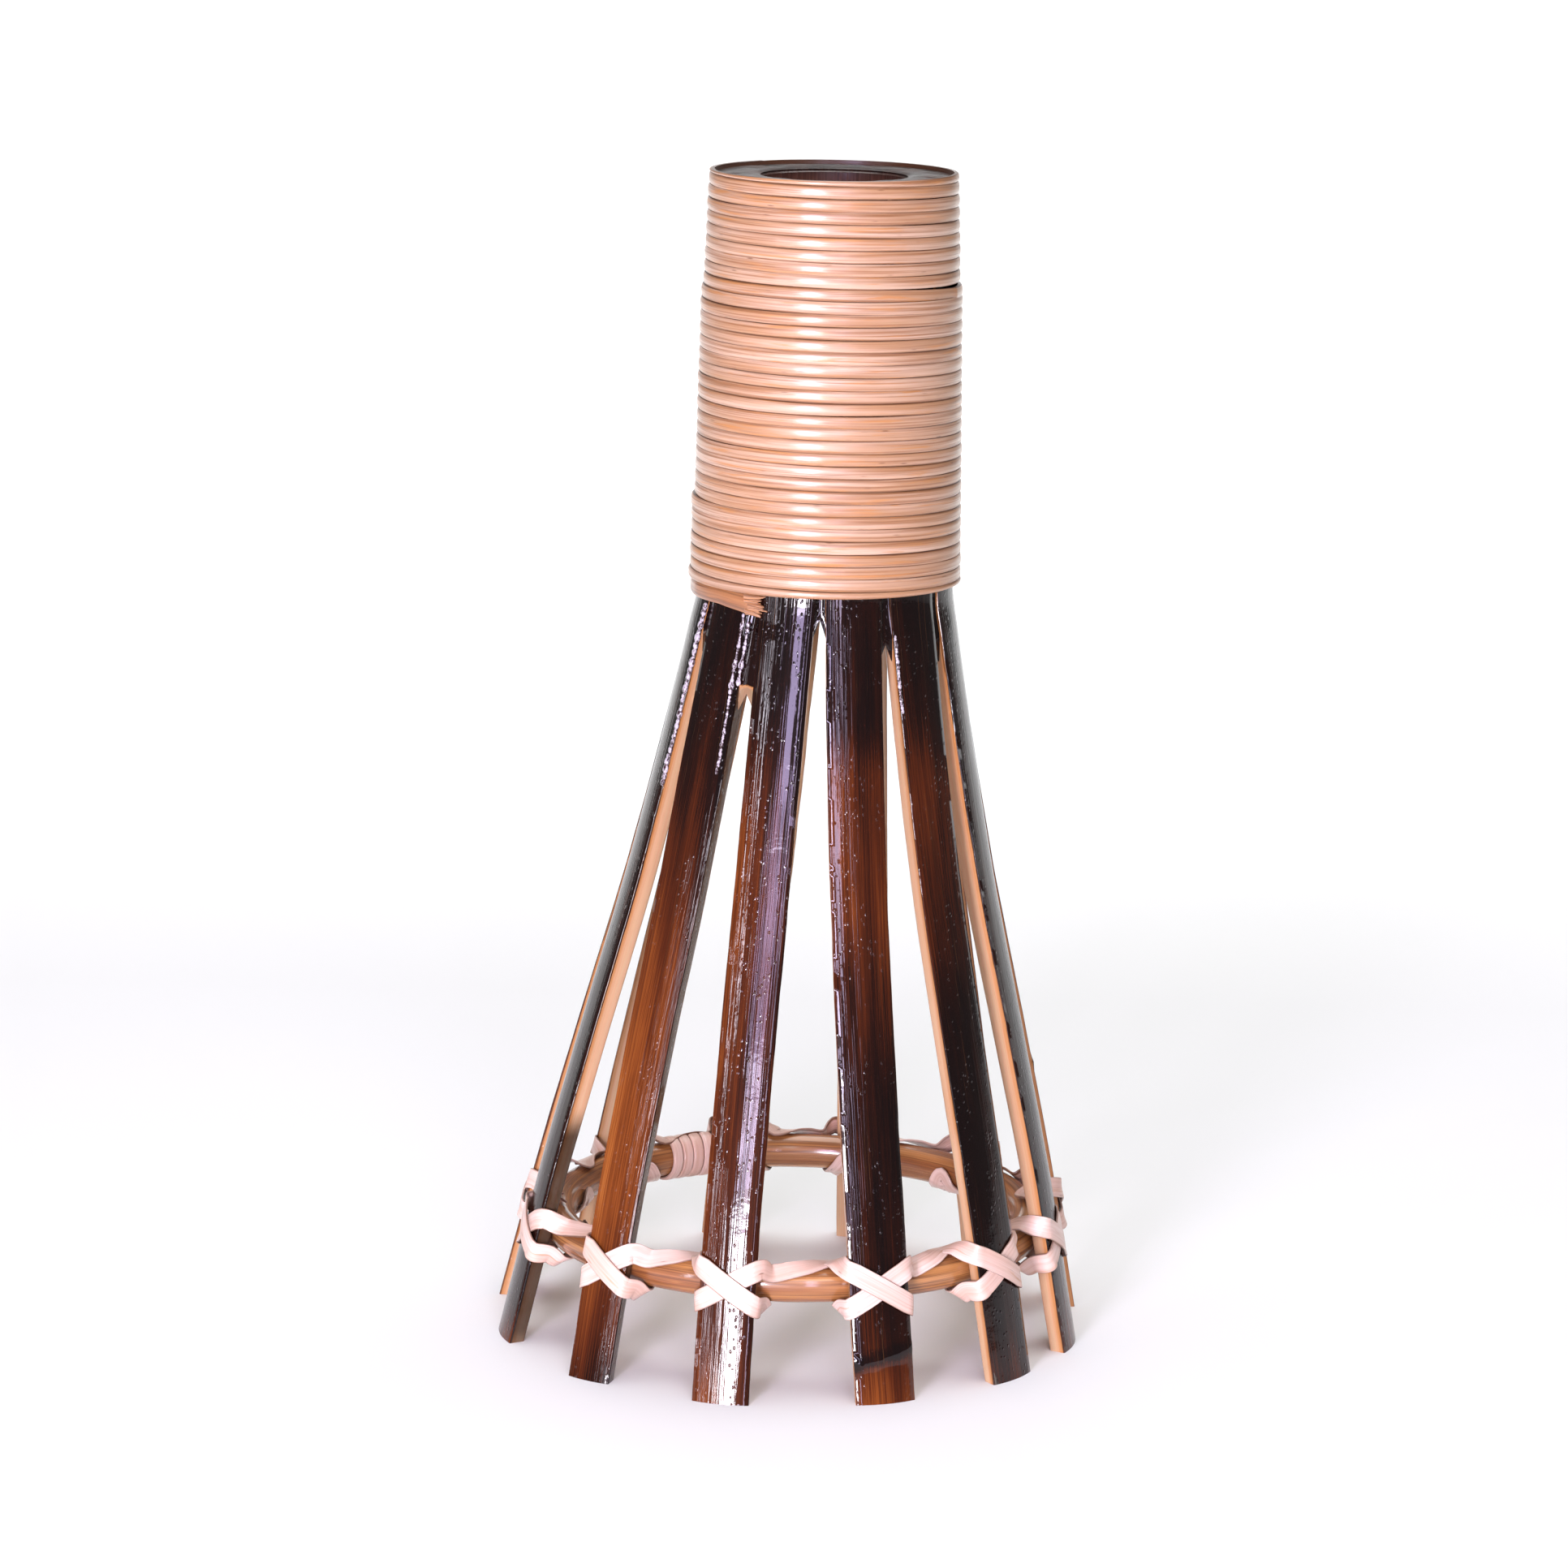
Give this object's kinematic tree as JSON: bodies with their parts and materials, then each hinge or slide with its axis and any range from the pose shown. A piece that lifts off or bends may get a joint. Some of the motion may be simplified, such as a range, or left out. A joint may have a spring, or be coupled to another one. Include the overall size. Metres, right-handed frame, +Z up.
{
  "type": "bamboo torch head",
  "caption": "Splayed bamboo torch head: stained staves round a bored core, bound with wound cane, spread by a rattan hoop tied with crossed cane straps.",
  "frame": {"origin": "centre of the ring of stave tips, on the surface that the torch head stands on", "axes": "+Z up from the stave tips to the collar's bore; -Y is the side seen in front, +X is the side towards which the collar leans"},
  "size_m": [0.1462, 0.146, 0.2865],
  "materials": {
    "sleeve_bamboo": "dark stained bamboo under gloss lacquer",
    "stave_bamboo": "mottled dark brown stain under gloss lacquer, pale split sides",
    "binding_cane": "clear lacquered split cane",
    "hoop_rattan": "clear lacquered round rattan",
    "lashing_cane": "clear lacquered flat cane"
  },
  "bodies": {
    "root": {"core_sleeve": "sleeve_bamboo", "stave_01": "stave_bamboo", "stave_02": "stave_bamboo", "stave_03": "stave_bamboo", "stave_04": "stave_bamboo", "stave_05": "stave_bamboo", "stave_06": "stave_bamboo", "stave_07": "stave_bamboo", "stave_08": "stave_bamboo", "stave_09": "stave_bamboo", "stave_10": "stave_bamboo", "stave_11": "stave_bamboo", "stave_12": "stave_bamboo", "collar_binding_upper": "binding_cane", "collar_binding_lower": "binding_cane", "spreader_hoop": "hoop_rattan", "hoop_splice_binding": "lashing_cane", "lashing_01": "lashing_cane", "lashing_02": "lashing_cane", "lashing_03": "lashing_cane", "lashing_04": "lashing_cane", "lashing_05": "lashing_cane", "lashing_06": "lashing_cane", "lashing_07": "lashing_cane", "lashing_08": "lashing_cane", "lashing_09": "lashing_cane", "lashing_10": "lashing_cane", "lashing_11": "lashing_cane", "lashing_12": "lashing_cane"}
  },
  "joints": []
}
